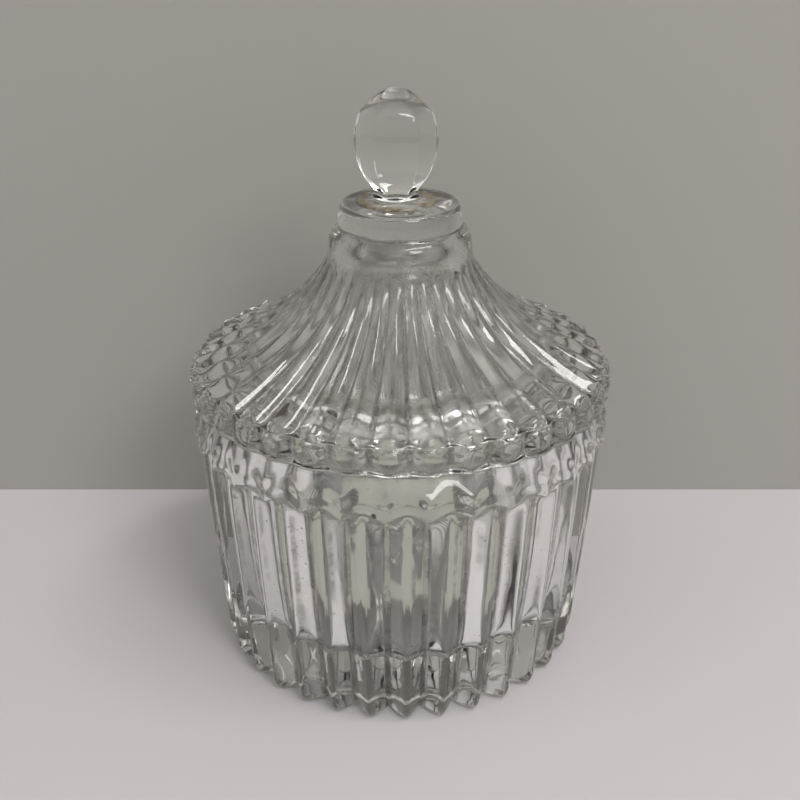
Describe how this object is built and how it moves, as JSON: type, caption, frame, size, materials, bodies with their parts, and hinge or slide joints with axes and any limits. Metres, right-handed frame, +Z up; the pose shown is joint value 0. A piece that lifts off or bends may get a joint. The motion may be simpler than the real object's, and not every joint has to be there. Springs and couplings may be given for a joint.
{
  "type": "lidded glass candle jar",
  "caption": "Empty pressed-glass candle jar with ribbed walls, a thick base, a fluted tent-shaped lid and a faceted knob.",
  "frame": {"origin": "on the table under the middle of the jar's foot", "axes": "+Z up along the jar's axis, -Y towards the front, +X to the right"},
  "size_m": [0.092, 0.092, 0.1259],
  "materials": {
    "jar_glass": "fire-polished pressed glass",
    "lid_glass": "fire-polished pressed glass",
    "knob_glass": "polished solid glass",
    "bond": "clear adhesive, yellowed"
  },
  "bodies": {
    "jar": {"jar": "jar_glass"},
    "lid": {"lid": "lid_glass", "knob": "knob_glass", "knob_bond": "bond"}
  },
  "joints": [
    {"name": "lid_lift", "type": "slide", "parent": "jar", "child": "lid", "axis": [0, 0, 1], "range_m": [0, 0.06]}
  ]
}
